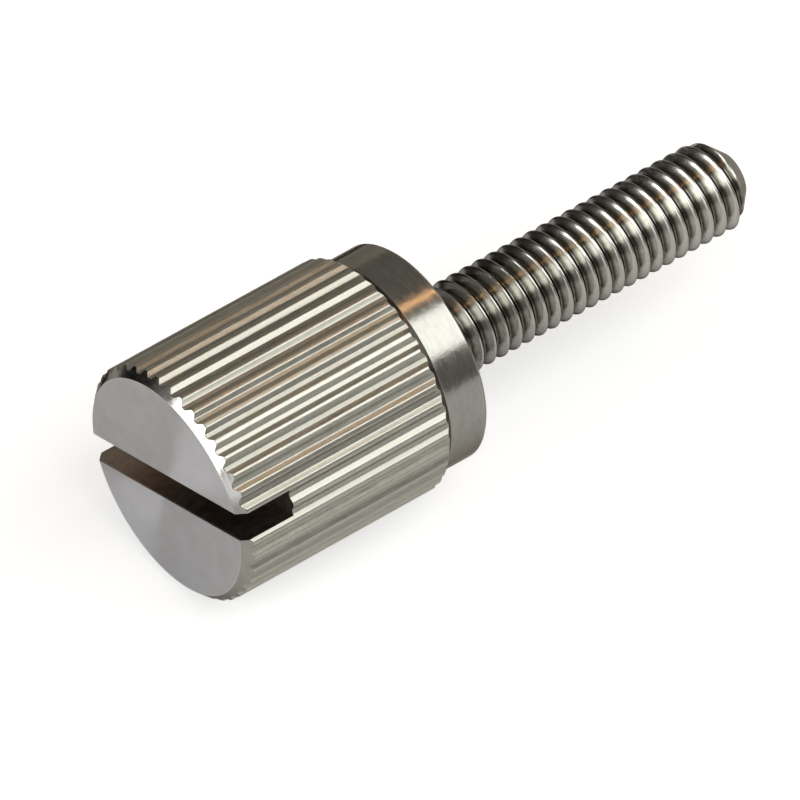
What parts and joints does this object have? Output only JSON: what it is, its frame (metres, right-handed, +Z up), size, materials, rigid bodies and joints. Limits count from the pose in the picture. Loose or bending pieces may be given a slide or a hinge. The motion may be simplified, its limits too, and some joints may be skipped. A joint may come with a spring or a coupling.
{
  "type": "rack mount screw",
  "caption": "Knurled thumb screw for fixing equipment to a rack: slotted straight-knurled head, plain collar and fully threaded shank.",
  "frame": {"origin": "on the screw's axis, in the plane of the collar's rear face, which seats on the panel", "axes": "+X along the axis from the head towards the tip, +Z up with the screw lying on its knurl"},
  "size_m": [0.0438, 0.0158, 0.0158],
  "materials": {
    "stainless_steel": "bare turned stainless steel: satin face with turning marks, brighter knurl and thread"
  },
  "bodies": {
    "root": {"screw": "stainless_steel"}
  },
  "joints": []
}
